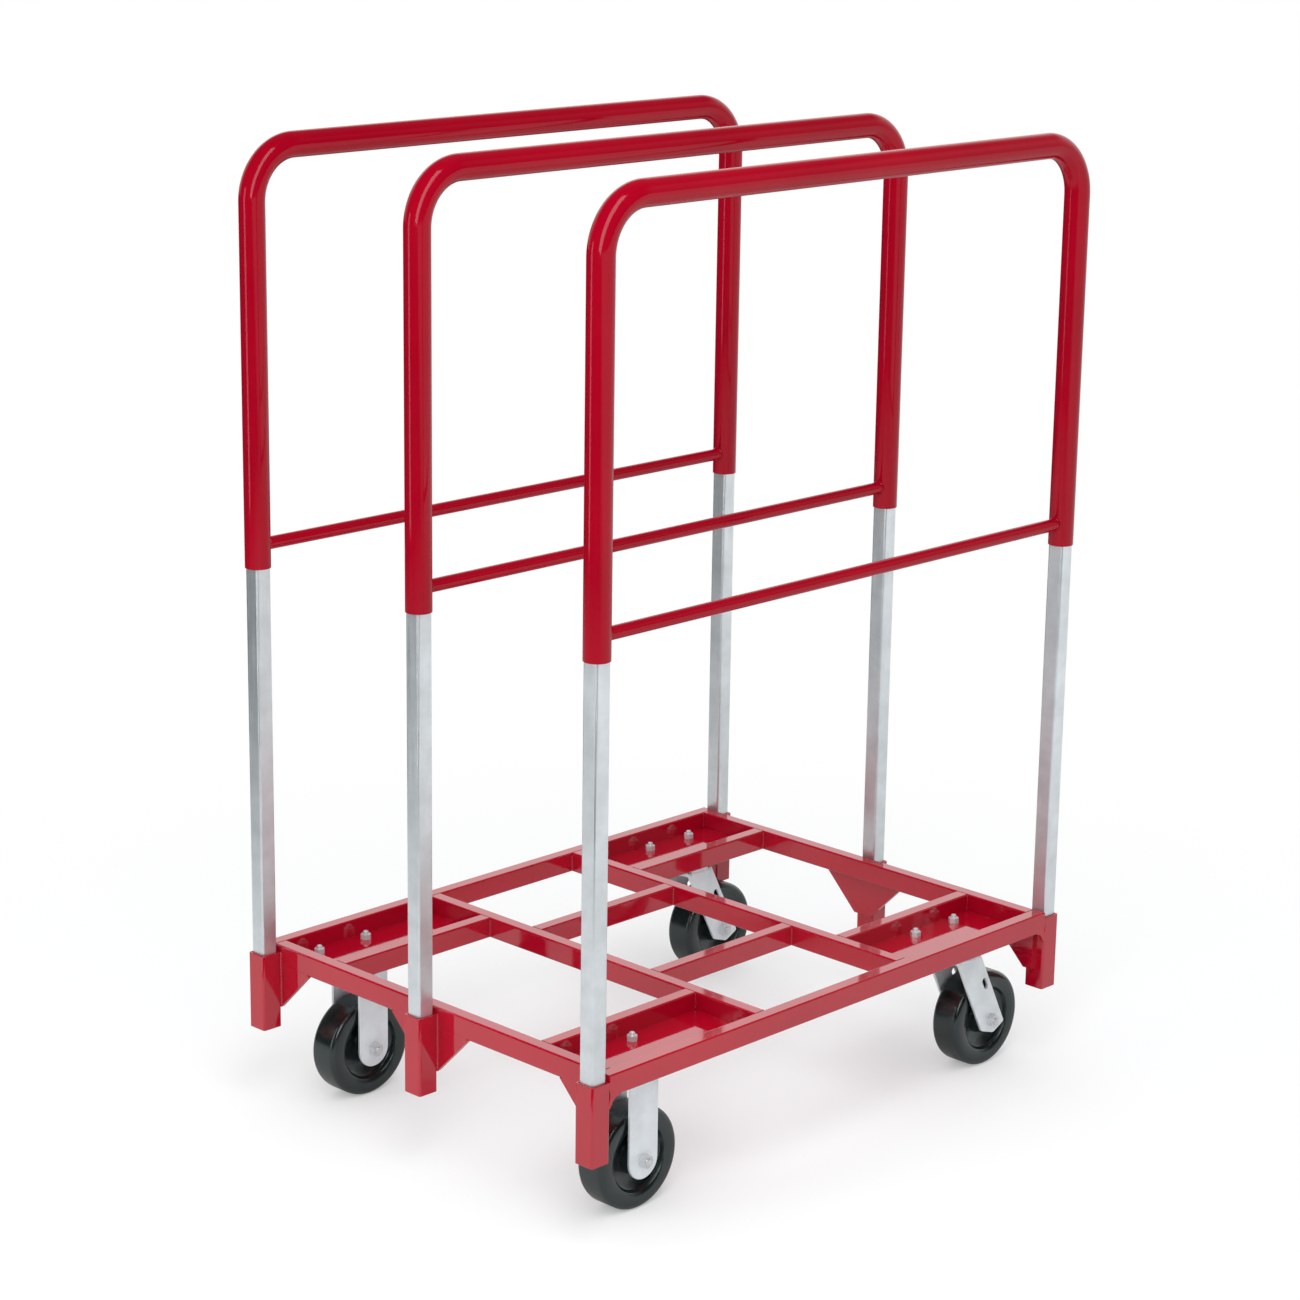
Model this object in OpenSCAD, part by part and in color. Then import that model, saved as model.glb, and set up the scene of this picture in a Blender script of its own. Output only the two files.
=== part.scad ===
// Drywall cart: a welded tube deck on two rigid and two swivel casters, with three hoops
// that stand in square sockets and keep the sheets upright.
// +X runs to the swivel end, +Y to the right-hand side, +Z up. Z = 0 is the floor.

/* [Hoops] */
// Distance between the two legs of a hoop
hoop_span = 988; // [800:1:1200]
// Distance from the middle hoop to each outer hoop
hoop_pitch = 349; // [280:1:420]
// Height of the hoop's top tube above the deck
hoop_rise = 1187; // [1000:1:1400]
// Radius of the hoop's bends, to the tube's middle
bend_r = 76; // [60:1:120]
// Wall of the hoop's tube
tube_wall = 1.65; // [1.2:0.05:3]
// Height of the hoop tube's lower ends above the deck
tube_end_rise = 582; // [450:1:700]
// Height of the tie bar above the hoop tube's lower ends
tie_rise = 33; // [25:1:80]
// Diameter of the tie bar
tie_d = 19; // [14:0.5:26]
// Chamfer on the hoop tube's lower rim
rim_chamfer = 0.8; // [0.2:0.1:1.1]

/* [Legs] */
// Width of the square leg tube
leg_w = 26.2; // [22:0.1:32]
// Corner radius of the leg tube
leg_corner = 3; // [2.2:0.1:5]
// Wall of the leg tube
leg_wall = 2; // [1.2:0.1:2.1]
// Gap between a leg's corners and the hoop tube's bore
leg_fit = 0.12; // [0.1:0.02:0.5]
// Length of leg inside the hoop tube
leg_grip = 120; // [80:1:250]

/* [Sockets] */
// Wall of the square sockets
socket_wall = 3; // [2:0.5:5]
// Corner radius of the sockets
socket_corner = 3.5; // [3.2:0.1:6]
// Length of a socket
socket_len = 118; // [90:1:135]
// Distance of the sockets' mouths below the deck's top
socket_drop = 10; // [0:1:15]
// Play between a leg and its socket, on each side
socket_play = 0.9; // [0.4:0.1:2]
// Thickness of the stop plate in a socket's foot
stop_t = 4; // [3:0.5:10]
// Gap between a leg's foot and its stop plate
seat_gap = 0.1; // [0.1:0.05:0.4]
// Height and reach of the gussets below the end rails
gusset_leg = 65; // [40:1:75]
// Thickness of the gussets
gusset_t = 6; // [4:0.5:8]

/* [Deck] */
// Height of the deck's tubes
rail_h = 32; // [28:1:40]
// Width of the deck's tubes
bar_w = 22; // [18:1:28]
// Wall of the deck's tubes
bar_wall = 2; // [1.5:0.5:3]
// Corner radius of the deck's tubes
bar_corner = 2.5; // [1.5:0.5:3]
// Distance from the cart's middle to each cross bar
cross_x = 155; // [120:1:200]
// Distance from the cart's middle to each pocket bar
pocket_y = 218; // [150:1:226]
// Distance from the cart's middle to each centre bar
centre_y = 126; // [60:1:180]
// Thickness of the caster pads
pad_t = 5; // [4:0.5:8]

/* [Casters] */
// Distance of the rigid casters from the end rail's inner face
rigid_inset = 93; // [75:1:130]
// Distance of the swivel casters' kingpins from the end rail's inner face
swivel_inset = 103; // [90:1:140]
// Gap between a swivel wheel's top and the level of the kingpin's foot
wheel_clear = 28.95; // [15:0.05:45]
// Length of a caster plate, along the cart
plate_l = 114.3; // [110:0.1:120]
// Width of a caster plate
plate_w = 101.6; // [88:0.1:110]
// Thickness of a caster plate
plate_t = 6.35; // [4:0.05:8]
// Bolt spacing along the cart
bolt_dx = 92.1; // [90:0.1:94]
// Bolt spacing across the cart
bolt_dy = 76.2; // [74:0.1:78]
// Diameter of the plate bolts
bolt_d = 9.5; // [8:0.1:10]
// Clearance of the bolts in their holes, on the radius
bolt_play = 0.4; // [0.2:0.05:0.8]
// Height of the bolts' ends above the pads
bolt_stand = 14; // [12:1:20]
// Width across the flats of the bolts and nuts
bolt_flats = 14.3; // [13:0.1:16]
// Height of the bolts' heads
head_h = 6.5; // [4:0.1:7]
// Height of the bolts' nuts
nut_h = 8; // [6:0.1:9]
// Gap between a thread and its nut, on the radius
thread_gap = 0.05; // [0.02:0.01:0.1]

/* [Forks] */
// Width of a rigid fork's legs
rigid_fork_w = 56; // [48:1:64]
// Width of a swivel fork's legs
swivel_fork_w = 51; // [46:1:56]
// Thickness of the fork legs
fork_t = 5; // [3:0.5:6]
// Distance of the swivel wheel's axle behind the kingpin
swivel_lead = 60; // [45:1:62]
// Length of a swivel fork's legs beyond the axle
fork_end = 24; // [20:1:30]
// Chamfer on the lower corner of a swivel fork's legs
fork_chamfer = 22; // [10:1:24]
// Thickness of a swivel fork's crown
crown_t = 6; // [4:0.5:7]
// Length of the slots in a swivel fork's legs
slot_l = 20; // [14:1:24]
// Width of the slots in a swivel fork's legs
slot_w = 9; // [6:0.5:11]
// Distance from a slot's middle to the leg's upper edge
slot_edge = 11.5; // [10:0.5:16]

/* [Swivel bearing] */
// Outer radius of the bearing's races
race_r = 38; // [36:0.5:40]
// Radius of the ring of balls
ball_ring_r = 28; // [26:0.5:30]
// Diameter of a bearing ball
ball_d = 8; // [6:0.5:9]
// Number of bearing balls
ball_count = 16; // [10:1:18]
// Clearance between a ball and its races
ball_play = 0.3; // [0.2:0.05:0.5]
// Thickness of each race
race_t = 7.5; // [6.5:0.5:8.5]
// Gap between the two races
race_gap = 3; // [1.5:0.5:4]
// Diameter of the kingpin
kingpin_d = 15.9; // [12:0.1:18]
// Radius of the kingpin's foot
kingpin_foot_r = 14; // [12:0.5:17]
// Thickness of the kingpin's foot
kingpin_foot_t = 6; // [4:0.5:8]
// Gap between the kingpin's foot and the crown
foot_gap = 0.3; // [0.2:0.1:0.6]

/* [Wheels] */
// Diameter of a wheel
wheel_d = 152.4; // [140:0.1:160]
// Width of a wheel's tread
tread_w = 50.8; // [40:0.1:54]
// Radius of the tread's shoulders
shoulder_r = 9; // [4:0.5:14]
// Inner radius of a wheel's rim
rim_r = 56; // [46:0.5:60]
// Thickness of a wheel's web
web_t = 26; // [16:1:36]
// Radius of a wheel's hub
hub_r = 23; // [20:0.5:28]
// Length of a wheel's hub
hub_len = 54; // [54:0.5:62]
// Gap between a hub and its fork, on each side
hub_gap = 1; // [0.4:0.1:1.5]
// Diameter of the axle bolts
axle_d = 12.7; // [10:0.1:14]
// Outer diameter of the axle bushes
bush_d = 19; // [17:0.1:21]
// Outer diameter of the roller bearings
bearing_d = 28.6; // [25:0.1:32]
// Width across the flats of the axle bolts and nuts
axle_flats = 19; // [17:0.1:22]
// Height of the axle bolts' heads
axle_head_h = 7.5; // [6:0.1:10]
// Height of the axle nuts
axle_nut_h = 9; // [7:0.1:12]
// Length of axle bolt beyond its nut
axle_tail = 3; // [1:0.5:6]
// Gap of an assembled fit, on the radius
fit_gap = 0.05; // [0.02:0.01:0.08]

/* [Hidden] */
$fn = 64;
// Overlap that keeps a cut clear of the face that it opens
cut = 1;
// Smallest radius of a square tube's inner corner
min_corner = 0.2;
sides = [-1, 1];
rows = [-1, 0, 1];

red = [0.70, 0.04, 0.13];
zinc = [0.76, 0.80, 0.84];
steel = [0.55, 0.57, 0.60];
phenolic = [0.10, 0.13, 0.13];

leg_reach = (leg_w / 2 - leg_corner) * sqrt(2) + leg_corner;
bore_r = leg_reach + leg_fit;
tube_r = bore_r + tube_wall;

socket_in = leg_w + 2 * socket_play;
socket_w = socket_in + 2 * socket_wall;
socket_in_corner = max(socket_corner - socket_wall, min_corner);
stop_w = socket_in - 2 * fit_gap;

// Height of a caster, from the floor to the top of its plate
bearing_h = 2 * race_t + race_gap;
caster_h = wheel_d + wheel_clear + kingpin_foot_t + foot_gap + crown_t + bearing_h + plate_t;
deck_top = caster_h + rail_h;
hoop_top = deck_top + hoop_rise;
tube_end = deck_top + tube_end_rise;
tie_z = tube_end + tie_rise;
socket_top = deck_top - socket_drop;
socket_foot = socket_top - socket_len;
leg_foot = socket_foot + stop_t + seat_gap;

leg_x = hoop_span / 2;
end_out = leg_x - socket_w / 2;
end_in = end_out - bar_w;
side_out = hoop_pitch + socket_w / 2;
side_in = side_out - bar_w;
pad_low_x = cross_x + bar_w / 2;
pad_low_y = pocket_y + bar_w / 2;
rigid_x = end_in - rigid_inset;
swivel_x = end_in - swivel_inset;
caster_y = (pad_low_y + side_in) / 2;

bolt_r = bolt_d / 2;
wheel_r = wheel_d / 2;
axle_z = wheel_r;
fork_gap = hub_len + 2 * hub_gap;
fork_out = fork_gap / 2 + fork_t;
bush_bore_r = axle_d / 2 + fit_gap;
bearing_r = bearing_d / 2 - fit_gap;

plate_low = caster_h - plate_t;
race_low = plate_low - race_t;
crown_race_top = race_low - race_gap;
crown_top = crown_race_top - race_t;
crown_low = crown_top - crown_t;
ball_z = race_low - race_gap / 2;

// Direction of a swivel fork's legs, in the XZ plane of its own caster
axle_point = [swivel_lead, axle_z];
fork_root = [0, crown_top];
fork_dir = (axle_point - fork_root) / norm(axle_point - fork_root);
fork_side = [-fork_dir[1], fork_dir[0]];
fork_half = swivel_fork_w / 2;
root_half = fork_half / fork_side[0];

// Box between two corners
module box(low, high) {
  translate(low) cube(high - low);
}

// Rectangle with round corners, centred
module round_rect(size, r) {
  square(size - [2 * r, 0], center = true);
  square(size - [0, 2 * r], center = true);
  for (sx = sides, sy = sides)
    translate([sx * (size[0] / 2 - r), sy * (size[1] / 2 - r)]) circle(r);
}

// Square or rectangular tube standing on Z = 0
module box_tube(size, r, wall, h) {
  bore = size - [2 * wall, 2 * wall];
  difference() {
    linear_extrude(h) round_rect(size, r);
    translate([0, 0, -cut]) linear_extrude(h + 2 * cut) round_rect(bore, max(r - wall, min_corner));
  }
}

// Hexagon prism standing on Z = 0
module hex(flats, h) {
  cylinder(h = h, r = flats / sqrt(3), $fn = 6);
}

// Deck tubes along X and along Y, about a middle point of the deck's plan
module deck_tube(length) {
  translate([0, 0, -length / 2]) box_tube([bar_w, rail_h], bar_corner, bar_wall, length);
}
module tube_along_x(x, y, length) {
  color(red) translate([x, y, caster_h + rail_h / 2]) rotate([90, 0, 90]) deck_tube(length);
}
module tube_along_y(x, y, length) {
  color(red) translate([x, y, caster_h + rail_h / 2]) rotate([90, 0, 0]) deck_tube(length);
}

// Deck pieces, with sx = -1 at the front, sy = -1 on the left
module side_rail(sy) {
  tube_along_x(0, sy * (side_out - bar_w / 2), 2 * end_out);
}
module end_rail(sx) {
  tube_along_y(sx * (end_out - bar_w / 2), 0, 2 * side_in);
}
module cross_bar(sx) {
  tube_along_y(sx * cross_x, 0, 2 * side_in);
}
module pocket_bar(sx, sy) {
  tube_along_x(sx * (pad_low_x + end_in) / 2, sy * pocket_y, end_in - pad_low_x);
}
module centre_bar(sy) {
  tube_along_x(0, sy * centre_y, 2 * cross_x - bar_w);
}

// Places of the four bolts of a caster plate
module at_plate_bolts() {
  for (bx = sides, by = sides)
    translate([bx * bolt_dx / 2, by * bolt_dy / 2, 0]) children();
}
module plate_holes(low, high) {
  at_plate_bolts()
    translate([0, 0, low - cut]) cylinder(h = high - low + 2 * cut, r = bolt_r + bolt_play);
}
function caster_x(sx) = sx > 0 ? swivel_x : -rigid_x;

module caster_pad(sx, sy) {
  x = sx > 0 ? pad_low_x : -end_in;
  y = sy > 0 ? pad_low_y : -side_in;
  color(red) difference() {
    box([x, y, caster_h], [x + end_in - pad_low_x, y + side_in - pad_low_y, caster_h + pad_t]);
    translate([caster_x(sx), sy * caster_y, 0]) plate_holes(caster_h, caster_h + pad_t);
  }
}

// Sockets, their stop plates and their gussets
module socket(sx, row) {
  color(red) translate([sx * leg_x, row * hoop_pitch, socket_foot])
    box_tube([socket_w, socket_w], socket_corner, socket_wall, socket_len);
}
module socket_stops() {
  color(red) for (sx = sides, row = rows)
    translate([sx * leg_x, row * hoop_pitch, socket_foot])
      linear_extrude(stop_t) round_rect([stop_w, stop_w], socket_in_corner);
}
module gusset(sx, row) {
  outer = row * hoop_pitch;
  inner = row * hoop_pitch - row * socket_w / 2;
  half = socket_w / 2;
  outline = row == 0
    ? [[-half - gusset_leg, caster_h], [half + gusset_leg, caster_h],
       [half, caster_h - gusset_leg], [-half, caster_h - gusset_leg]]
    : [[outer, caster_h], [inner - row * gusset_leg, caster_h],
       [inner, caster_h - gusset_leg], [outer, caster_h - gusset_leg]];
  x = sx > 0 ? end_out - gusset_t : -end_out;
  translate([x, 0, 0]) rotate([90, 0, 90]) linear_extrude(gusset_t) polygon(outline);
}
module gussets() {
  color(red) for (sx = sides, row = rows) gusset(sx, row);
}

// Bolts and nuts of the caster plates
module at_casters() {
  for (sx = sides, sy = sides) translate([caster_x(sx), sy * caster_y, 0]) children();
}
module pad_bolts() {
  color(zinc) at_casters() at_plate_bolts() {
    translate([0, 0, plate_low - head_h]) hex(bolt_flats, head_h);
    translate([0, 0, plate_low]) cylinder(h = caster_h + pad_t + bolt_stand - plate_low, r = bolt_r);
  }
}
module pad_nuts() {
  color(zinc) at_casters() at_plate_bolts()
    translate([0, 0, caster_h + pad_t]) difference() {
      hex(bolt_flats, nut_h);
      translate([0, 0, -cut]) cylinder(h = nut_h + 2 * cut, r = bolt_r + thread_gap);
    }
}

module caster_plate() {
  box([-plate_l / 2, -plate_w / 2, plate_low], [plate_l / 2, plate_w / 2, caster_h]);
}

// Cylinder along Y, centred on Y = 0
module y_cylinder(r, h) {
  rotate([90, 0, 0]) cylinder(h = h, r = r, center = true);
}

// Rigid caster, in its own place at X = Y = 0
module rigid_fork_shape() {
  difference() {
    union() {
      caster_plate();
      for (s = sides) {
        y = s > 0 ? fork_gap / 2 : -fork_out;
        box([-rigid_fork_w / 2, y, axle_z], [rigid_fork_w / 2, y + fork_t, plate_low]);
        translate([0, y + fork_t / 2, axle_z]) y_cylinder(rigid_fork_w / 2, fork_t);
      }
    }
    plate_holes(plate_low, caster_h);
    translate([0, 0, axle_z]) y_cylinder(bush_bore_r, 2 * fork_out + 2 * cut);
  }
}
module rigid_fork(sy) {
  color(zinc) translate([-rigid_x, sy * caster_y, 0]) rigid_fork_shape();
}

// Axle bolt with its head on the +Y side, about the wheel's middle
module axle_bolt() {
  translate([0, fork_out, 0]) rotate([-90, 0, 0]) hex(axle_flats, axle_head_h);
  translate([0, fork_out, 0]) rotate([90, 0, 0])
    cylinder(h = 2 * fork_out + axle_nut_h + axle_tail, r = axle_d / 2);
}
module axle_nut() {
  translate([0, -fork_out, 0]) rotate([90, 0, 0]) difference() {
    hex(axle_flats, axle_nut_h);
    translate([0, 0, -cut]) cylinder(h = axle_nut_h + 2 * cut, r = axle_d / 2 + thread_gap);
  }
}
module bush() {
  difference() {
    y_cylinder(bush_d / 2, fork_gap);
    y_cylinder(bush_bore_r, fork_gap + 2 * cut);
  }
}
module at_rigid_wheel(sy) {
  translate([-rigid_x, sy * caster_y, axle_z]) children();
}
module at_swivel_wheel(sy) {
  translate([swivel_x + swivel_lead, sy * caster_y, axle_z]) children();
}
module rigid_axles() {
  color(steel) for (sy = sides) at_rigid_wheel(sy) axle_bolt();
}
module rigid_axle_nuts() {
  color(steel) for (sy = sides) at_rigid_wheel(sy) axle_nut();
}
module rigid_bushes() {
  color(steel) for (sy = sides) at_rigid_wheel(sy) bush();
}

// Swivel caster, about its kingpin at X = Y = 0
module race_ring(low) {
  difference() {
    translate([0, 0, low]) cylinder(h = race_t, r = race_r);
    translate([0, 0, ball_z]) rotate_extrude()
      translate([ball_ring_r, 0]) circle(ball_d / 2 + ball_play);
  }
}
module swivel_plate(sy) {
  color(zinc) translate([swivel_x, sy * caster_y, 0]) difference() {
    union() {
      caster_plate();
      race_ring(race_low);
    }
    plate_holes(plate_low, caster_h);
    translate([0, 0, race_low - cut])
      cylinder(h = caster_h - race_low + 2 * cut, r = kingpin_d / 2 + fit_gap);
  }
}
module kingpins() {
  foot_top = crown_low - foot_gap;
  color(steel) for (sy = sides) translate([swivel_x, sy * caster_y, 0]) {
    translate([0, 0, foot_top]) cylinder(h = caster_h - foot_top, r = kingpin_d / 2);
    translate([0, 0, foot_top - kingpin_foot_t]) cylinder(h = kingpin_foot_t, r = kingpin_foot_r);
  }
}
module swivel_balls() {
  color(steel) for (sy = sides, i = [0 : ball_count - 1])
    translate([swivel_x, sy * caster_y, ball_z]) rotate([0, 0, 360 * i / ball_count])
      translate([ball_ring_r, 0, 0]) sphere(ball_d / 2, $fn = 32);
}

// Outline of a swivel fork's leg, as points in the caster's XZ plane
function fork_outline() = [
  fork_root + [-root_half, 0],
  fork_root + [root_half, 0],
  axle_point + fork_dir * fork_end + fork_side * fork_half,
  axle_point + fork_dir * fork_end - fork_side * (fork_half - fork_chamfer),
  axle_point + fork_dir * (fork_end - fork_chamfer) - fork_side * fork_half
];
// Middle of the slot, midway up the leg, and its lean along the leg
slot_point = (axle_point + fork_root) / 2 + fork_side * (fork_half - slot_edge);
slot_lean = atan2(-fork_dir[0], -fork_dir[1]);
module fork_slot(y) {
  translate([slot_point[0], y, slot_point[1]]) rotate([0, slot_lean, 0]) {
    box([-slot_w / 2, -fork_t, -(slot_l - slot_w) / 2], [slot_w / 2, fork_t, (slot_l - slot_w) / 2]);
    for (s = sides) translate([0, 0, s * (slot_l - slot_w) / 2]) y_cylinder(slot_w / 2, 2 * fork_t);
  }
}
module swivel_fork(sy) {
  color(zinc) translate([swivel_x, sy * caster_y, 0]) difference() {
    union() {
      race_ring(crown_top);
      box([-root_half, -fork_out, crown_low], [root_half, fork_out, crown_top]);
      translate([0, 0, crown_low]) cylinder(h = crown_t, r = race_r);
      for (s = sides)
        translate([0, s > 0 ? fork_out : -fork_gap / 2, 0])
          rotate([90, 0, 0]) linear_extrude(fork_t) polygon(fork_outline());
    }
    translate([0, 0, crown_low - cut])
      cylinder(h = crown_race_top - crown_low + 2 * cut, r = kingpin_d / 2 + fit_gap);
    translate([swivel_lead, 0, axle_z]) y_cylinder(bush_bore_r, 2 * fork_out + 2 * cut);
    for (s = sides) fork_slot(s * (fork_gap + fork_t) / 2);
  }
}
module swivel_axle(sy) {
  color(steel) at_swivel_wheel(sy) axle_bolt();
}
module swivel_axle_nut(sy) {
  color(steel) at_swivel_wheel(sy) axle_nut();
}
module swivel_bush(sy) {
  color(steel) at_swivel_wheel(sy) bush();
}

// Wheel and roller bearing, about the wheel's middle
module wheel_section() {
  bore = bearing_d / 2;
  difference() {
    union() {
      translate([bore, -tread_w / 2]) square([wheel_r - shoulder_r - bore, tread_w]);
      translate([bore, shoulder_r - tread_w / 2]) square([wheel_r - bore, tread_w - 2 * shoulder_r]);
      for (s = sides)
        translate([wheel_r - shoulder_r, s * (tread_w / 2 - shoulder_r)]) circle(shoulder_r);
      translate([bore, -hub_len / 2]) square([hub_r - bore, hub_len]);
    }
    for (s = sides)
      translate([hub_r, s > 0 ? web_t / 2 : -hub_len / 2])
        square([rim_r - hub_r, (hub_len - web_t) / 2]);
  }
}
module wheel() {
  color(phenolic) rotate([90, 0, 0]) rotate_extrude() wheel_section();
}
module roller_bearing() {
  color(steel) difference() {
    y_cylinder(bearing_r, hub_len);
    y_cylinder(bush_d / 2 + fit_gap, hub_len + 2 * cut);
  }
}

// Hoop tube as a solid of radius r, with its ends at height z
module hoop_solid(r, z) {
  bend_z = hoop_top - bend_r;
  bend_x = leg_x - bend_r;
  for (s = sides) {
    translate([s * leg_x, 0, z]) cylinder(h = bend_z - z, r = r);
    mirror([s < 0 ? 1 : 0, 0, 0]) translate([bend_x, 0, bend_z]) rotate([90, 0, 0])
      rotate_extrude(angle = 90) translate([bend_r, 0]) circle(r);
  }
  translate([0, 0, hoop_top]) rotate([0, 90, 0]) cylinder(h = 2 * bend_x, r = r, center = true);
}
module rim_cut() {
  translate([0, 0, tube_end - cut]) difference() {
    cylinder(h = cut + rim_chamfer, r = tube_r + cut);
    translate([0, 0, cut]) cylinder(h = rim_chamfer, r1 = tube_r - rim_chamfer, r2 = tube_r);
    cylinder(h = cut, r = tube_r - rim_chamfer);
  }
}
module hoop(row) {
  color(red) translate([0, row * hoop_pitch, 0]) difference() {
    hoop_solid(tube_r, tube_end);
    hoop_solid(bore_r, tube_end - cut);
    for (s = sides) translate([s * leg_x, 0, 0]) rim_cut();
  }
}
module tie_bar(row) {
  color(red) translate([0, row * hoop_pitch, tie_z]) difference() {
    rotate([0, 90, 0]) cylinder(h = hoop_span, r = tie_d / 2, center = true);
    for (s = sides) translate([s * leg_x, 0, 0])
      cylinder(h = 2 * tie_d, r = tube_r + fit_gap, center = true);
  }
}
module legs(row) {
  color(zinc) for (s = sides) translate([s * leg_x, row * hoop_pitch, leg_foot])
    box_tube([leg_w, leg_w], leg_corner, leg_wall, tube_end + leg_grip - leg_foot);
}

module side_rail_left() { side_rail(-1); }
module side_rail_right() { side_rail(1); }
module end_rail_front() { end_rail(-1); }
module end_rail_rear() { end_rail(1); }
module cross_bar_front() { cross_bar(-1); }
module cross_bar_rear() { cross_bar(1); }
module pocket_bar_front_left() { pocket_bar(-1, -1); }
module pocket_bar_front_right() { pocket_bar(-1, 1); }
module pocket_bar_rear_left() { pocket_bar(1, -1); }
module pocket_bar_rear_right() { pocket_bar(1, 1); }
module centre_bar_left() { centre_bar(-1); }
module centre_bar_right() { centre_bar(1); }
module caster_pad_front_left() { caster_pad(-1, -1); }
module caster_pad_front_right() { caster_pad(-1, 1); }
module caster_pad_rear_left() { caster_pad(1, -1); }
module caster_pad_rear_right() { caster_pad(1, 1); }
module socket_front_left() { socket(-1, -1); }
module socket_front_middle() { socket(-1, 0); }
module socket_front_right() { socket(-1, 1); }
module socket_rear_left() { socket(1, -1); }
module socket_rear_middle() { socket(1, 0); }
module socket_rear_right() { socket(1, 1); }
module rigid_fork_left() { rigid_fork(-1); }
module rigid_fork_right() { rigid_fork(1); }
module swivel_plate_left() { swivel_plate(-1); }
module swivel_plate_right() { swivel_plate(1); }
module swivel_fork_left() { swivel_fork(-1); }
module swivel_fork_right() { swivel_fork(1); }
module swivel_axle_left() { swivel_axle(-1); }
module swivel_axle_right() { swivel_axle(1); }
module swivel_axle_nut_left() { swivel_axle_nut(-1); }
module swivel_axle_nut_right() { swivel_axle_nut(1); }
module swivel_bush_left() { swivel_bush(-1); }
module swivel_bush_right() { swivel_bush(1); }
module wheel_front_left() { at_rigid_wheel(-1) wheel(); }
module wheel_front_right() { at_rigid_wheel(1) wheel(); }
module wheel_rear_left() { at_swivel_wheel(-1) wheel(); }
module wheel_rear_right() { at_swivel_wheel(1) wheel(); }
module roller_bearing_front_left() { at_rigid_wheel(-1) roller_bearing(); }
module roller_bearing_front_right() { at_rigid_wheel(1) roller_bearing(); }
module roller_bearing_rear_left() { at_swivel_wheel(-1) roller_bearing(); }
module roller_bearing_rear_right() { at_swivel_wheel(1) roller_bearing(); }
module hoop_left() { hoop(-1); }
module hoop_middle() { hoop(0); }
module hoop_right() { hoop(1); }
module tie_bar_left() { tie_bar(-1); }
module tie_bar_middle() { tie_bar(0); }
module tie_bar_right() { tie_bar(1); }
module legs_left() { legs(-1); }
module legs_middle() { legs(0); }
module legs_right() { legs(1); }

side_rail_left();
side_rail_right();
end_rail_front();
end_rail_rear();
cross_bar_front();
cross_bar_rear();
pocket_bar_front_left();
pocket_bar_front_right();
pocket_bar_rear_left();
pocket_bar_rear_right();
centre_bar_left();
centre_bar_right();
caster_pad_front_left();
caster_pad_front_right();
caster_pad_rear_left();
caster_pad_rear_right();
socket_front_left();
socket_front_middle();
socket_front_right();
socket_rear_left();
socket_rear_middle();
socket_rear_right();
gussets();
socket_stops();
pad_bolts();
pad_nuts();
rigid_fork_left();
rigid_fork_right();
rigid_axles();
rigid_axle_nuts();
rigid_bushes();
swivel_plate_left();
swivel_plate_right();
kingpins();
swivel_balls();
swivel_fork_left();
swivel_fork_right();
swivel_axle_left();
swivel_axle_right();
swivel_axle_nut_left();
swivel_axle_nut_right();
swivel_bush_left();
swivel_bush_right();
wheel_front_left();
wheel_front_right();
wheel_rear_left();
wheel_rear_right();
roller_bearing_front_left();
roller_bearing_front_right();
roller_bearing_rear_left();
roller_bearing_rear_right();
hoop_left();
hoop_middle();
hoop_right();
tie_bar_left();
tie_bar_middle();
tie_bar_right();
legs_left();
legs_middle();
legs_right();
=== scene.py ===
"""Looks of the drywall cart: enamelled deck and hoops, zinc legs and forks, dark resin wheels."""
import math

import bmesh
import bpy
from mathutils import Matrix, Vector


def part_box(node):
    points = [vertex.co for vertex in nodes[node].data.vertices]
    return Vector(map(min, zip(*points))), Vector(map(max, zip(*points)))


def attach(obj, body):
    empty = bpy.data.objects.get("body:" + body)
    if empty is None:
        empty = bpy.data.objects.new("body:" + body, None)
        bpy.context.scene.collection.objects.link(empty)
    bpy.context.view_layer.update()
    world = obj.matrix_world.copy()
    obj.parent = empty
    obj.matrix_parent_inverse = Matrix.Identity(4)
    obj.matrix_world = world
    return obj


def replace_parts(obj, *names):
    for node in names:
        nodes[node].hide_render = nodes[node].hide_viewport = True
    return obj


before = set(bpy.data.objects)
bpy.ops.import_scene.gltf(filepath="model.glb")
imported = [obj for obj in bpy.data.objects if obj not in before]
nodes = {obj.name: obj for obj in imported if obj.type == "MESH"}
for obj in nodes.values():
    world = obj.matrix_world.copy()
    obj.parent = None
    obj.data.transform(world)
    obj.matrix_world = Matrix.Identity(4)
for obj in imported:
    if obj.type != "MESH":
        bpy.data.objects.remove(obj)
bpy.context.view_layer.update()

HOOPS = ("left", "middle", "right")
SIDES = ("left", "right")
ENDS = ("front", "rear")
CORNERS = [(end, side) for end in ENDS for side in SIDES]

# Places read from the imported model, in metres
hoop_low, hoop_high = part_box("hoop_middle")
TUBE_R = hoop_high.y
LEG_X = hoop_high.x - TUBE_R
HOOP_TOP = hoop_high.z - TUBE_R
TUBE_END = hoop_low.z
tie_low, tie_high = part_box("tie_bar_middle")
TIE_R = tie_high.y
TIE_Z = (tie_low.z + tie_high.z) / 2
rail_low, rail_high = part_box("side_rail_left")
DECK_TOP = rail_high.z
DECK_LOW = rail_low.z
SIDE_IN = -rail_high.y
SIDE_OUT = -rail_low.y
end_low, end_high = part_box("end_rail_rear")
END_IN = end_low.x
END_OUT = end_high.x
cross_low, cross_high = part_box("cross_bar_rear")
CROSS_IN = cross_low.x
CROSS_OUT = cross_high.x
PAD_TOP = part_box("caster_pad_rear_right")[1].z
socket_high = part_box("socket_rear_middle")[1]
SOCKET_HALF = socket_high.y
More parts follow.
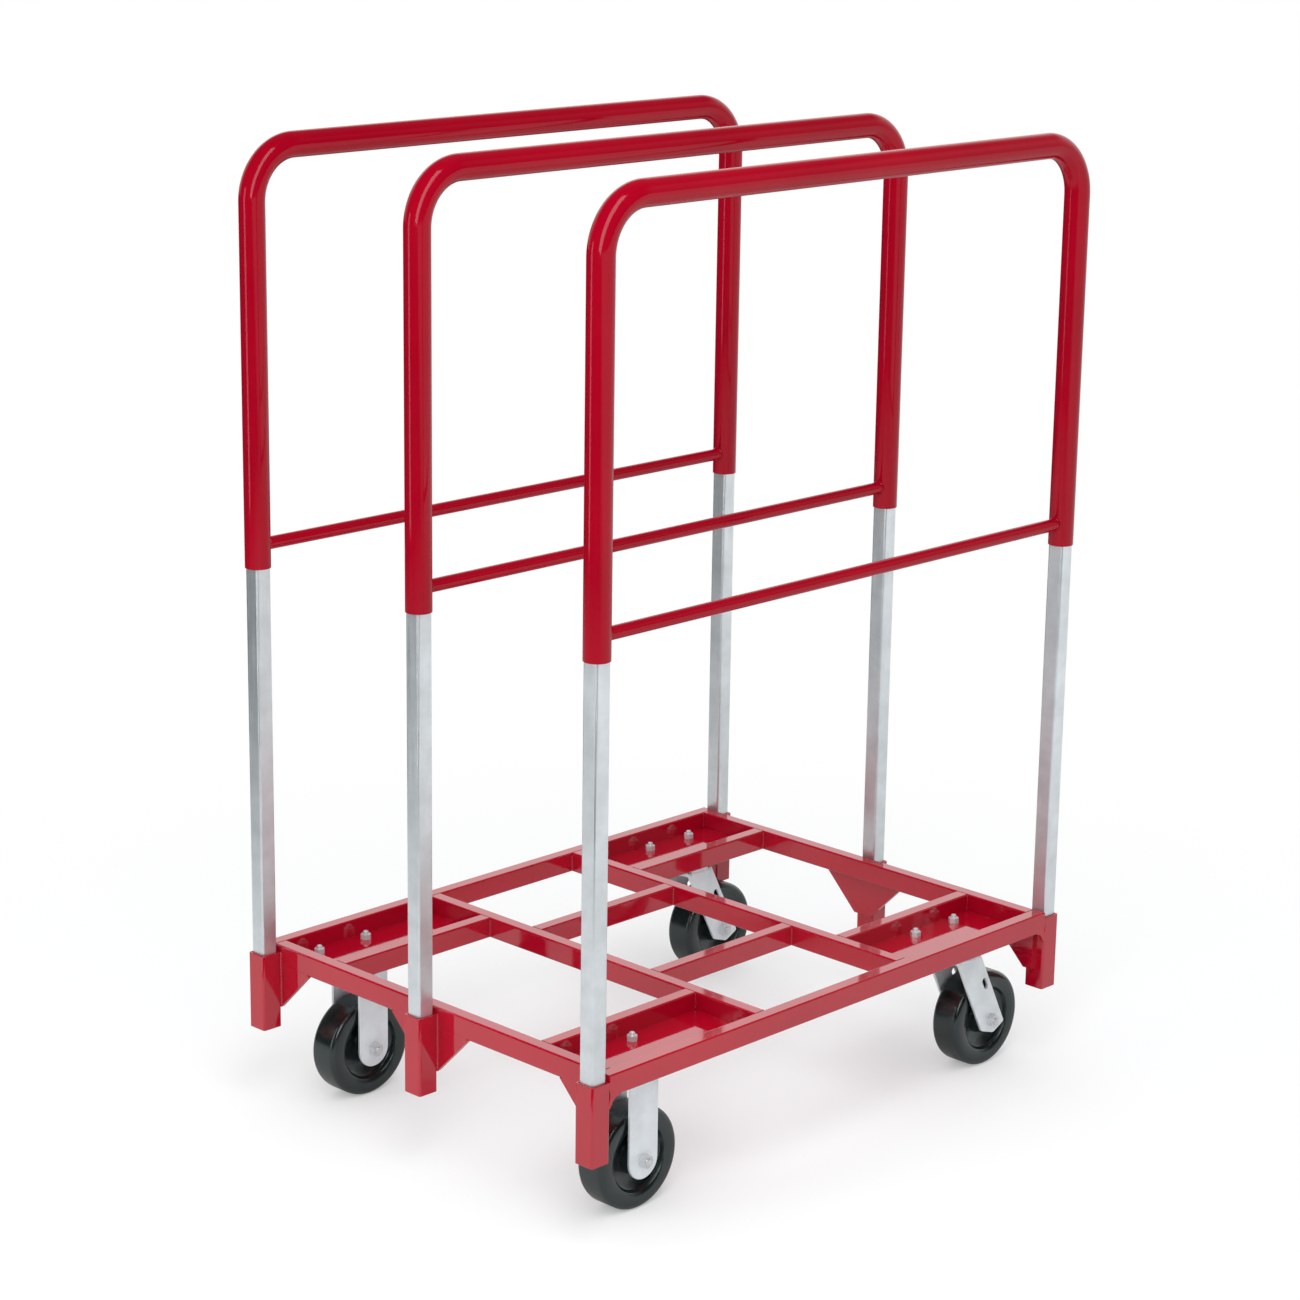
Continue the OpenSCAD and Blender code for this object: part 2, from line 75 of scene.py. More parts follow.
SOCKET_TOP = socket_high.z
gusset_low, gusset_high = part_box("gussets")
GUSSET_LOW = gusset_low.z
GUSSET_REACH = gusset_high.z - gusset_low.z
race_box_low, plate_box_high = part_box("swivel_plate_left")
RACE_LOW = race_box_low.z
PLATE_TOP = plate_box_high.z
RACE_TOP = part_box("swivel_fork_left")[1].z
AXLE_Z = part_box("wheel_rear_left")[1].z / 2

# Sizes of the pieces made here, in metres
BEND_R = 0.076
TUBE_WALL = 0.00165
TREAD_HALF = 0.0254
SHOULDER_R = 0.009
PLATE_T = 0.00635
PLATE_CORNER = 0.009
CASTER_X = {"front": -0.362, "rear": 0.352}
HOLE_X = 0.04605
HOLE_Y = 0.0381
BOLT_R = 0.00475
BOLT_FLATS = 0.0143
BOLT_PITCH = 0.0016
AXLE_R = 0.00635
AXLE_FLATS = 0.019
AXLE_PITCH = 0.0018
FORK_IN = 0.028
FORK_T = 0.005
FORK_OUT = FORK_IN + FORK_T
CROWN_T = 0.006
RACE_T = 0.0075
RACE_R = 0.038
PIN_R = 0.0081
LEAD = 0.060
CHAMFER = 0.0008
FLUSH = 0.0001


def middle_y(node):
    low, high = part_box(node)
    return (low.y + high.y) / 2


# Finishes

def new_finish(name):
    mat = bpy.data.materials.new(name)
    mat.use_nodes = True
    tree = mat.node_tree
    shader = tree.nodes["Principled BSDF"]
    place = tree.nodes.new("ShaderNodeTexCoord")
    return mat, tree, shader, place.outputs["Object"]


def stretched(tree, coords, scale):
    mapping = tree.nodes.new("ShaderNodeMapping")
    mapping.inputs["Scale"].default_value = scale
    tree.links.new(coords, mapping.inputs["Vector"])
    return mapping.outputs["Vector"]


def mottle(tree, coords, scale, detail, roughness=0.55):
    noise = tree.nodes.new("ShaderNodeTexNoise")
    noise.inputs["Scale"].default_value = scale
    noise.inputs["Detail"].default_value = detail
    noise.inputs["Roughness"].default_value = roughness
    tree.links.new(coords, noise.inputs["Vector"])
    return noise.outputs["Fac"]


def shades(tree, amount, first, last):
    """Runs from one colour to another; each is a position and a colour."""
    ramp = tree.nodes.new("ShaderNodeValToRGB")
    for stop, (position, colour) in zip(ramp.color_ramp.elements, (first, last)):
        stop.position = position
        stop.color = (*colour, 1)
    tree.links.new(amount, ramp.inputs["Fac"])
    return ramp.outputs["Color"]


def spread(tree, amount, low, high, start=0.3, stop=0.7):
    reach = tree.nodes.new("ShaderNodeMapRange")
    reach.inputs["From Min"].default_value = start
    reach.inputs["From Max"].default_value = stop
    reach.inputs["To Min"].default_value = low
    reach.inputs["To Max"].default_value = high
    tree.links.new(amount, reach.inputs["Value"])
    return reach.outputs["Result"]


def dimple(tree, shader, height, strength, distance):
    bump = tree.nodes.new("ShaderNodeBump")
    bump.inputs["Strength"].default_value = strength
    bump.inputs["Distance"].default_value = distance
    tree.links.new(height, bump.inputs["Height"])
    tree.links.new(bump.outputs["Normal"], shader.inputs["Normal"])


def edge_amount(tree, reach):
    """Rises to 1 along sharp edges, where the enamel gets its painted highlight."""
    rounded = tree.nodes.new("ShaderNodeBevel")
    rounded.samples = 4
    rounded.inputs["Radius"].default_value = reach
    facing = tree.nodes.new("ShaderNodeNewGeometry")
    dot = tree.nodes.new("ShaderNodeVectorMath")
    dot.operation = "DOT_PRODUCT"
    tree.links.new(rounded.outputs["Normal"], dot.inputs[0])
    tree.links.new(facing.outputs["Normal"], dot.inputs[1])
    return spread(tree, dot.outputs["Value"], 1.0, 0.0, 0.75, 0.98)


def mixed(tree, amount, base, colour):
    """Lays a plain colour over a base by an amount."""
    mix = tree.nodes.new("ShaderNodeMix")
    mix.data_type = "RGBA"
    tree.links.new(amount, mix.inputs["Factor"])
    tree.links.new(base, mix.inputs["A"])
    mix.inputs["B"].default_value = (*colour, 1)
    return mix.outputs["Result"]


def times(tree, first, second):
    product = tree.nodes.new("ShaderNodeMath")
    product.operation = "MULTIPLY"
    tree.links.new(first, product.inputs[0])
    tree.links.new(second, product.inputs[1])
    return product.outputs["Value"]


def red_enamel(name, edge_reach, red, smooth, shine, lacquer):
    """Sprayed enamel over steel, a little orange-peeled, with a painted highlight of lighter red in
    patches along the edges.
    """
    mat, tree, shader, place = new_finish(name)
    deep = tuple(c * 0.86 for c in red)
    base = shades(tree, mottle(tree, place, 5.0, 4.0), (0.3, deep), (0.7, red))
    patches = spread(tree, mottle(tree, place, 60.0, 5.0), 0.1, 0.6)
    # Painted highlight: the edges turn a lighter red in random patches, in place of light catching
    # them
    painted_edge_highlight = times(tree, edge_amount(tree, edge_reach), patches)
    base = mixed(tree, painted_edge_highlight, base, (0.60, 0.045, 0.055))
    tree.links.new(base, shader.inputs["Base Color"])
    gloss = spread(tree, mottle(tree, place, 26.0, 4.0), smooth, smooth * 2)
    tree.links.new(gloss, shader.inputs["Roughness"])
    shader.inputs["Specular IOR Level"].default_value = shine
    shader.inputs["Coat Weight"].default_value = lacquer
    peel = mottle(tree, place, 260.0, 2.0)
    dimple(tree, shader, peel, 0.05, 0.0004)
    return mat


def bright_zinc(name, grain, tint, metal):
    """Zinc plate with faint clouds of blue and the drawn grain of the tube or sheet under it."""
    mat, tree, shader, place = new_finish(name)
    shader.inputs["Metallic"].default_value = metal
    dark = tuple(c * 0.86 for c in tint)
    base = shades(tree, mottle(tree, place, 26.0, 5.0), (0.32, dark), (0.68, tint))
    tree.links.new(base, shader.inputs["Base Color"])
    lines = mottle(tree, stretched(tree, place, grain), 1.0, 4.0, 0.6)
    tree.links.new(spread(tree, lines, 0.30, 0.46), shader.inputs["Roughness"])
    dimple(tree, shader, lines, 0.10, 0.0002)
    return mat


def turned_steel(name):
    """Plain machined steel with fine tool marks and a darker oiled cast."""
    mat, tree, shader, place = new_finish(name)
    shader.inputs["Metallic"].default_value = 0.75
    oiled, clean = (0.66, 0.68, 0.70), (0.80, 0.82, 0.84)
    base = shades(tree, mottle(tree, place, 90.0, 4.0), (0.3, oiled), (0.7, clean))
    tree.links.new(base, shader.inputs["Base Color"])
    gloss = spread(tree, mottle(tree, place, 500.0, 3.0), 0.25, 0.45)
    tree.links.new(gloss, shader.inputs["Roughness"])
    dimple(tree, shader, mottle(tree, place, 1500.0, 2.0), 0.15, 0.0001)
    return mat


def pressed_resin(name):
    """Hot-pressed resin and cloth filler: near black, faintly green, pale flecks in the skin."""
    mat, tree, shader, place = new_finish(name)
    dark, light = (0.003, 0.006, 0.006), (0.008, 0.013, 0.013)
    base = shades(tree, mottle(tree, place, 30.0, 5.0), (0.3, dark), (0.7, light))
    fleck = tree.nodes.new("ShaderNodeTexVoronoi")
    fleck.inputs["Scale"].default_value = 260.0
    tree.links.new(place, fleck.inputs["Vector"])
    flecks = spread(tree, fleck.outputs["Distance"], 0.3, 0.0, 0.05, 0.2)
    base = mixed(tree, flecks, base, (0.024, 0.034, 0.033))
    tree.links.new(base, shader.inputs["Base Color"])
    gloss = spread(tree, mottle(tree, place, 70.0, 4.0), 0.16, 0.28)
    tree.links.new(gloss, shader.inputs["Roughness"])
    shader.inputs["Specular IOR Level"].default_value = 0.95
    shader.inputs["Specular Tint"].default_value = (0.88, 1.0, 1.0, 1)
    dimple(tree, shader, mottle(tree, place, 600.0, 3.0), 0.06, 0.0003)
    return mat


BAR_RED = red_enamel("bar_enamel", edge_reach=0.0016, red=(0.43, 0.0018, 0.017),
                     smooth=0.04, shine=0.80, lacquer=0.4)
TUBE_RED = red_enamel("tube_enamel", edge_reach=0.0010, red=(0.345, 0.0006, 0.0125),
                      smooth=0.06, shine=0.25, lacquer=0.0)
LEG_ZINC = bright_zinc("leg_zinc", grain=(420.0, 420.0, 6.0), tint=(0.90, 0.96, 0.99), metal=0.90)
FORK_ZINC = bright_zinc("fork_zinc", grain=(160.0, 160.0, 60.0), tint=(0.86, 0.92, 0.95),
                        metal=0.45)
NUT_ZINC = bright_zinc("fastener_zinc", grain=(900.0, 900.0, 900.0), tint=(0.84, 0.88, 0.90),
                       metal=0.5)
AXLE_STEEL = turned_steel("axle_steel")
WHEEL_RESIN = pressed_resin("wheel_resin")


# Mesh helpers

def finish_piece(bm, name, body, mat, smooth_deg=35.0):
    """Turns a bmesh into a piece at the origin that rides on a body."""
    bmesh.ops.remove_doubles(bm, verts=bm.verts[:], dist=1e-6)
    bmesh.ops.recalc_face_normals(bm, faces=bm.faces[:])
    mesh = bpy.data.meshes.new(name)
    bm.to_mesh(mesh)
    bm.free()
    for face in mesh.polygons:
        face.use_smooth = True
    mesh.set_sharp_from_angle(angle=math.radians(smooth_deg))
    mesh.materials.append(mat)
    piece = bpy.data.objects.new(name, mesh)
    bpy.context.scene.collection.objects.link(piece)
    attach(piece, body)
    return piece


def edges_of(geom):
    return [g for g in geom if isinstance(g, bmesh.types.BMEdge)]


def verts_of(geom):
    return [g for g in geom if isinstance(g, bmesh.types.BMVert)]


def ends_of(edges):
    return list(dict.fromkeys(v for e in edges for v in e.verts))


def pull_ring(bm, ring, move):
    """Extrudes a ring of edges straight along move and returns the new ring."""
    made = bmesh.ops.extrude_edge_only(bm, edges=ring)["geom"]
    bmesh.ops.translate(bm, verts=verts_of(made), vec=move)
    return edges_of(made)


def turned(bm, profile, axis_point, axis, steps):
    """Spins an open profile of points right round an axis."""
    verts = [bm.verts.new(p) for p in profile]
    edges = [bm.edges.new(pair) for pair in zip(verts, verts[1:])]
    bmesh.ops.spin(bm, geom=verts + edges, cent=axis_point, axis=axis, angle=math.tau,
                   steps=steps, use_merge=True, use_duplicate=False)


def put(bm, part, matrix):
    """Adds a bmesh part to bm at a place."""
    bmesh.ops.transform(part, matrix=matrix, verts=part.verts[:])
    mesh = bpy.data.meshes.new("part")
    part.to_mesh(mesh)
    part.free()
    bm.from_mesh(mesh)
    bpy.data.meshes.remove(mesh)


def block(bm, low, high):
    """Adds a plain block between two corners."""
    low, high = Vector(low), Vector(high)
    place = Matrix.Translation((low + high) / 2) @ Matrix.Diagonal((*(high - low), 1))
    bmesh.ops.create_cube(bm, size=1.0, matrix=place)


def flat_plate(bm, low, high, corner, edge):
    """Adds a flat plate with round corners and softened rims."""
    part = bmesh.new()
    block(part, low, high)
    half_t = (high[2] - low[2]) / 2
    uprights = [e for e in part.edges if abs(e.verts[0].co.z - e.verts[1].co.z) > half_t]
    bmesh.ops.bevel(part, geom=uprights, offset=corner, segments=6, profile=0.5,
                    affect="EDGES", material=-1)
    rims = [e for e in part.edges if e.calc_face_angle() > 1.2]
    bmesh.ops.bevel(part, geom=rims, offset=edge, segments=2, profile=0.5,
                    affect="EDGES", material=-1)
    put(bm, part, Matrix.Identity(4))


def hex_block(flats, height):
    """Hexagon with its upper corners chamfered, standing on Z = 0."""
    bm = bmesh.new()
    corner_r = flats / math.sqrt(3)
    bmesh.ops.create_cone(bm, cap_ends=True, segments=6, radius1=corner_r, radius2=corner_r,
                          depth=height)
    bmesh.ops.translate(bm, verts=bm.verts[:], vec=(0, 0, height / 2))
    upper = [v.co for v in bm.verts if v.co.z > height / 2]
    corners = [Vector((co.x, co.y, 0)).normalized() for co in upper]
    tilt = math.radians(28)
    for out in corners:
        cut = bmesh.ops.bisect_plane(
            bm, geom=bm.verts[:] + bm.edges[:] + bm.faces[:], dist=1e-7,
            plane_co=out * flats * 0.49 + Vector((0, 0, height)),
            plane_no=out * math.sin(tilt) + Vector((0, 0, math.cos(tilt))), clear_outer=True)
        bmesh.ops.edgenet_fill(bm, edges=edges_of(cut["geom_cut"]))
    return bm


def thread(radius, low, high, pitch):
    """Profile of a threaded end: ridges up to a chamfered tip."""
    points = [(radius * 0.9, low)]
    steps = int((high - low) / pitch) - 1
    for i in range(steps):
        z = low + pitch * i
        points += [(radius, z + pitch * 0.35), (radius, z + pitch * 0.5),
                   (radius * 0.88, z + pitch * 0.95)]
    points += [(radius * 0.86, high - pitch * 0.6), (radius * 0.7, high), (0.0, high)]
    return points


def bead(bm, start, stop, size):
    """One weld run of overlapping ripples from start to stop."""
    start, stop = Vector(start), Vector(stop)
    run = stop - start
    tip = 0.55
    swell = (1.0, 0.9, 0.78, 0.9)
    steps = max(4, int(run.length / (size * tip)))
    part = bmesh.new()
    bmesh.ops.create_circle(part, cap_ends=True, radius=size * tip, segments=8)
    edge = part.edges[:]
    last = tip
    for i in range(steps + 1):
        edge = pull_ring(part, edge, (0, 0, run.length / (steps + 1)))
        want = tip if i == steps else swell[i % 4]
        rim = ends_of(edge)
        middle = sum((v.co for v in rim), Vector()) / len(rim)
        bmesh.ops.scale(part, vec=(want / last, want / last, 1), verts=rim,
                        space=Matrix.Translation(-middle))
        last = want
    bmesh.ops.contextual_create(part, geom=edge)
    put(bm, part, Matrix.Translation(start) @ run.to_track_quat("Z", "Y").to_matrix().to_4x4())


def soften(names, mat, width=0):
    """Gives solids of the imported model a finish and, with a width, a small rounded edge."""
    for name in names:
        solid = nodes[name]
        solid.data.materials.clear()
        solid.data.materials.append(mat)
        if width:
            join = solid.modifiers.new("join", "WELD")
            join.merge_threshold = 2e-6
            edge = solid.modifiers.new("edge", "BEVEL")
            edge.width = width
            edge.segments = 2
            edge.limit_method = "ANGLE"
            edge.angle_limit = math.radians(40)
            edge.harden_normals = True


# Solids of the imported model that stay: deck, sockets, legs, tie bars and the hidden steel

deck_steel = ["side_rail_" + s for s in SIDES] + ["centre_bar_" + s for s in SIDES]
deck_steel += ["cross_bar_" + e for e in ENDS] + ["end_rail_" + e for e in ENDS]
deck_steel += ["pocket_bar_%s_%s" % corner for corner in CORNERS]
deck_steel += ["caster_pad_%s_%s" % corner for corner in CORNERS]
deck_steel += ["gussets", "socket_stops"]
hidden_steel = ["kingpins", "swivel_balls", "rigid_bushes"]
hidden_steel += ["swivel_bush_" + s for s in SIDES]
hidden_steel += ["roller_bearing_%s_%s" % corner for corner in CORNERS]
soften(deck_steel, BAR_RED)
soften(["socket_%s_%s" % (e, r) for e in ENDS for r in HOOPS], BAR_RED, 0.0006)
soften(["legs_" + r for r in HOOPS], LEG_ZINC, 0.0004)
soften(["tie_bar_" + r for r in HOOPS], TUBE_RED)
soften(hidden_steel, AXLE_STEEL)


# Hoops

def hoop_tube(row):
    """One tube swept up, over and down, with an open rounded rim at each foot."""
    y = middle_y("hoop_" + row)
    bm = bmesh.new()
    ring = bmesh.ops.create_circle(bm, cap_ends=False, radius=TUBE_R, segments=48)["verts"]
    bmesh.ops.translate(bm, verts=ring, vec=(-LEG_X, y, TUBE_END))
    rise = HOOP_TOP - BEND_R - TUBE_END
    edge = pull_ring(bm, bm.edges[:], (0, 0, rise))
    for side in (-1, 1):
        centre = (side * (LEG_X - BEND_R), y, HOOP_TOP - BEND_R)
        spun = bmesh.ops.spin(bm, geom=edge + ends_of(edge), cent=centre, axis=(0, 1, 0),
                              angle=math.pi / 2, steps=28, use_duplicate=False)
        edge = edges_of(spun["geom_last"])
        move = (2 * (LEG_X - BEND_R), 0, 0) if side < 0 else (0, 0, -rise)
        edge = pull_ring(bm, edge, move)
    piece = finish_piece(bm, "hoop_%s_tube" % row, "hoop_%s_body" % row, TUBE_RED)
    wall = piece.modifiers.new("wall", "SOLIDIFY")
    wall.thickness = TUBE_WALL
    wall.offset = -1
    rim = piece.modifiers.new("rim", "BEVEL")
    rim.width = 0.0006
    rim.segments = 3
    rim.limit_method = "ANGLE"
    rim.angle_limit = math.radians(40)
    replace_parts(piece, "hoop_" + row)


for row in HOOPS:
    hoop_tube(row)


# Wheels

def wheel(end, side):
    """Turned from one profile: a flat hub, a coned dish and a tread with round shoulders."""
    low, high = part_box("wheel_%s_%s" % (end, side))
    centre = (low + high) / 2
    radius = (high.z - low.z) / 2
    hub = (high.y - low.y) / 2
    half = [(0.0144, hub), (0.0205, hub), (0.0228, hub - 0.0035), (0.0240, 0.0140),
            (0.0262, 0.0105), (0.0440, 0.0150), (0.0468, 0.0166), (0.0486, 0.0184),
            (0.0500, 0.0236), (0.0516, TREAD_HALF)]
    for i in range(9):
        turn = math.radians(90 - 11.25 * i)
        half.append((radius - SHOULDER_R + SHOULDER_R * math.cos(turn),
                     TREAD_HALF - SHOULDER_R + SHOULDER_R * math.sin(turn)))
    profile = half + [(r, -a) for r, a in reversed(half)]
    profile.append(profile[0])
    bm = bmesh.new()
    turned(bm, [centre + Vector((r, a, 0)) for r, a in profile], centre, (0, 1, 0), 96)
    piece = finish_piece(bm, "wheel_%s_%s_tread" % (end, side), "wheel_%s_%s_body" % (end, side),
                         WHEEL_RESIN, 50)
    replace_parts(piece, "wheel_%s_%s" % (end, side))


for end, side in CORNERS:
    wheel(end, side)


# Casters: bolts through the pads, plates and forks with chamfered edges, axle bolts

def caster_bolts():
    """Threaded ends with chamfered nuts on the pads, and heads under the plates."""
    bolt_low, bolt_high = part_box("pad_bolts")
    nut_low, nut_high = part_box("pad_nuts")
    plate_low = PLATE_TOP - PLATE_T
    shank_low = plate_low - 0.001
    shank_top = bolt_high.z - 0.0015
    shank = [(0.0, shank_low), (BOLT_R, shank_low)]
    shank += thread(BOLT_R, PAD_TOP, shank_top, BOLT_PITCH)
    over = Matrix.Rotation(math.pi, 4, "X")
    bolts, nuts = bmesh.new(), bmesh.new()
    for end, side in CORNERS:
        x, y = CASTER_X[end], middle_y("caster_pad_%s_%s" % (end, side))
        for dx in (-HOLE_X, HOLE_X):
            for dy in (-HOLE_Y, HOLE_Y):
                at = Vector((x + dx, y + dy, 0))
                # Each hexagon stops at a turn of its own
                turn = Matrix.Rotation(17 * dx * dy * 1e3 + 40 * x + 9 * y, 4, "Z")
                turned(bolts, [at + Vector((r, 0, z)) for r, z in shank], at, (0, 0, 1), 20)
                head = Matrix.Translation(at + Vector((0, 0, plate_low)))
                put(bolts, hex_block(BOLT_FLATS, plate_low - bolt_low.z), head @ turn @ over)
                seat = Matrix.Translation(at + Vector((0, 0, nut_low.z)))
                put(nuts, hex_block(BOLT_FLATS, nut_high.z - nut_low.z), seat @ turn)
    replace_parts(finish_piece(bolts, "caster_bolts", "deck", NUT_ZINC), "pad_bolts")
    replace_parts(finish_piece(nuts, "caster_nuts", "deck", NUT_ZINC), "pad_nuts")


def cut_slot(part, middle, lean, length, width):
    """Cuts a slot with round ends into a flat outline in the XZ plane."""
    bmesh.ops.delete(part, geom=part.faces[:], context="FACES_ONLY")
    ring = bmesh.ops.create_circle(part, cap_ends=False, radius=width / 2, segments=20)["verts"]
    bmesh.ops.rotate(part, verts=ring, cent=(0, 0, 0),
                     matrix=Matrix.Rotation(math.pi / 20, 3, "Z"))
    for sign in (-1, 1):
        half = [v for v in ring if v.co.y * sign > 0]
        bmesh.ops.translate(part, verts=half, vec=(0, sign * (length - width) / 2, 0))
    turn = Matrix.Rotation(math.pi / 2, 4, "X") @ Matrix.Rotation(lean, 4, "Z")
    place = Matrix.Translation((middle[0], 0, middle[1]))
    bmesh.ops.transform(part, verts=ring, matrix=place @ turn)
    bmesh.ops.triangle_fill(part, use_beauty=True, use_dissolve=False, edges=part.edges[:],
                            normal=(0, 1, 0))


def fork_leg(bm, at, y, corners, rounds, slot=None):
    """Adds a flat leg with chamfered edges: corners in the XZ plane from at, lower face at y."""
    part = bmesh.new()
    verts = [part.verts.new((x, 0, z)) for x, z in corners]
    bmesh.ops.contextual_create(part, geom=verts)
    for vert, radius in zip(verts, rounds):
        bmesh.ops.bevel(part, geom=[vert], offset=radius, segments=12, profile=0.5,
                        affect="VERTICES", material=-1)
    if slot:
        cut_slot(part, *slot)
    lower = part.faces[:]
    made = bmesh.ops.extrude_face_region(part, geom=lower)["geom"]
    bmesh.ops.translate(part, verts=verts_of(made), vec=(0, FORK_T - 2 * CHAMFER, 0))
    bmesh.ops.recalc_face_normals(part, faces=part.faces[:])
    upper = [g for g in made if isinstance(g, bmesh.types.BMFace)]
    for skin in (lower, upper):
        bmesh.ops.inset_region(part, faces=skin, thickness=CHAMFER, depth=CHAMFER,
                               use_boundary=True, use_even_offset=True)
    put(bm, part, Matrix.Translation((at.x, at.y + y + CHAMFER, at.z)))


def caster_at(end, side):
    return Vector((CASTER_X[end], middle_y("wheel_rear_" + side), 0))


def rigid_fork(side):
    """Plate with two round-footed legs, welded along their roots."""
    at = caster_at("front", side)
    low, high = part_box("rigid_fork_" + side)
    half = AXLE_Z - low.z
    plate_low = high.z - PLATE_T
    weld = half - 0.003
    bm = bmesh.new()
    flat_plate(bm, (low.x, low.y, plate_low), high, PLATE_CORNER, CHAMFER)
    corners = [(-half, plate_low), (half, plate_low), (half, low.z), (-half, low.z)]
    for y in (-FORK_OUT, FORK_IN):
        fork_leg(bm, at, y, corners, (0.001, 0.001, half * 0.999, half * 0.999))
        outer = y if y < 0 else y + FORK_T
        bead(bm, at + Vector((-weld, outer, plate_low)), at + Vector((weld, outer, plate_low)),
             0.003)
    piece = finish_piece(bm, "rigid_caster_fork_" + side, "deck", FORK_ZINC)
    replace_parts(piece, "rigid_fork_" + side)


def swivel_plate(side):
    """Plate with the turned upper race under it."""
    at = caster_at("rear", side)
    low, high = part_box("swivel_plate_" + side)
    plate_low = PLATE_TOP - PLATE_T
    bm = bmesh.new()
    flat_plate(bm, (low.x, low.y, plate_low), high, PLATE_CORNER, CHAMFER)
    ring = [(PIN_R, plate_low), (RACE_R + 0.0015, plate_low), (RACE_R, plate_low - 0.0012),
            (RACE_R, RACE_LOW + 0.002), (RACE_R - 0.0006, RACE_LOW + 0.0006),
            (RACE_R - 0.002, RACE_LOW), (PIN_R, RACE_LOW), (PIN_R, plate_low)]
    turned(bm, [at + Vector((r, 0, z)) for r, z in ring], at, (0, 0, 1), 64)
    piece = finish_piece(bm, "swivel_caster_plate_" + side, "deck", FORK_ZINC)
    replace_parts(piece, "swivel_plate_" + side)


def swivel_fork(side):
    """Crown with the turned lower race, and two slotted legs that lean back to the axle."""
    at = caster_at("rear", side)
    crown_top = RACE_TOP - RACE_T
    crown_low = crown_top - CROWN_T
    axle, root = Vector((LEAD, AXLE_Z)), Vector((0, crown_top))
    down = (axle - root).normalized()
    across = Vector((-down.y, down.x))
    half = 0.0255
    foot = 0.024
    cut = 0.022
    root_half = Vector((half / across.x, 0))
    corners = [root - root_half, root + root_half, axle + down * foot + across * half,
               axle + down * foot - across * (half - cut),
               axle + down * (foot - cut) - across * half]
    slot_at = (axle + root) / 2 + across * (half - 0.0115)
    slot = (slot_at, math.atan2(down.x, -down.y), 0.020, 0.009)
    bm = bmesh.new()
    for y in (-FORK_OUT, FORK_IN):
        fork_leg(bm, at, y, corners, (0.001, 0.001, 0.004, 0.003, 0.003), slot)
    flat_plate(bm, at + Vector((-root_half.x, -FORK_OUT, crown_low)),
               at + Vector((root_half.x, FORK_OUT, crown_top)), 0.002, CHAMFER)
    ring = [(PIN_R, crown_low), (RACE_R - 0.0015, crown_low), (RACE_R, crown_low + 0.0015),
            (RACE_R, crown_top - 0.001), (RACE_R - 0.0008, crown_top),
            (RACE_R, crown_top + 0.001), (RACE_R, RACE_TOP - 0.002),
            (RACE_R - 0.0006, RACE_TOP - 0.0006), (RACE_R - 0.002, RACE_TOP),
            (PIN_R, RACE_TOP), (PIN_R, crown_low)]
    turned(bm, [at + Vector((r, 0, z)) for r, z in ring], at, (0, 0, 1), 64)
    piece = finish_piece(bm, "swivel_caster_fork_" + side, "swivel_" + side,
                         FORK_ZINC)
    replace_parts(piece, "swivel_fork_" + side)


def axle_bolt(bolts, nuts, at):
    """Adds an axle bolt with its head on the +Y side and its nut on the threaded end."""
    lie = Matrix.Translation(at) @ Matrix.Rotation(math.pi / 2, 4, "X")
    over = Matrix.Rotation(math.pi, 4, "X")
    head_h, nut_h, tail = 0.0075, 0.009, 0.003
    profile = [(0.0, -FORK_OUT), (AXLE_R, -FORK_OUT)]
    profile += thread(AXLE_R, FORK_OUT, FORK_OUT + nut_h + tail, AXLE_PITCH)
    shank = bmesh.new()
    turned(shank, [Vector((r, 0, z)) for r, z in profile], (0, 0, 0), (0, 0, 1), 28)
    put(bolts, shank, lie)
    put(bolts, hex_block(AXLE_FLATS, head_h), lie @ Matrix.Translation((0, 0, -FORK_OUT)) @ over)
    put(nuts, hex_block(AXLE_FLATS, nut_h), lie @ Matrix.Translation((0, 0, FORK_OUT)))


def axles():
    """Axle bolts and nuts: the rigid casters' as one piece each, the swivels' apart."""
    bolts, nuts = bmesh.new(), bmesh.new()
    for side in SIDES:
        axle_bolt(bolts, nuts, (CASTER_X["front"], middle_y("wheel_rear_" + side), AXLE_Z))
    piece = finish_piece(bolts, "rigid_axle_bolts", "deck", AXLE_STEEL)
    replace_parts(piece, "rigid_axles")
    piece = finish_piece(nuts, "rigid_axle_hexes", "deck", AXLE_STEEL)
    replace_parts(piece, "rigid_axle_nuts")
    for side in SIDES:
        bolts, nuts = bmesh.new(), bmesh.new()
        axle_bolt(bolts, nuts, (CASTER_X["rear"] + LEAD, middle_y("wheel_rear_" + side), AXLE_Z))
        body = "swivel_" + side
        piece = finish_piece(bolts, "swivel_axle_bolt_" + side, body, AXLE_STEEL)
        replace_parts(piece, "swivel_axle_" + side)
        piece = finish_piece(nuts, "swivel_axle_hex_" + side, body, AXLE_STEEL)
        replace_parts(piece, "swivel_axle_nut_" + side)


caster_bolts()
for side in SIDES:
    rigid_fork(side)
    swivel_plate(side)
    swivel_fork(side)
axles()


# Welds and end caps

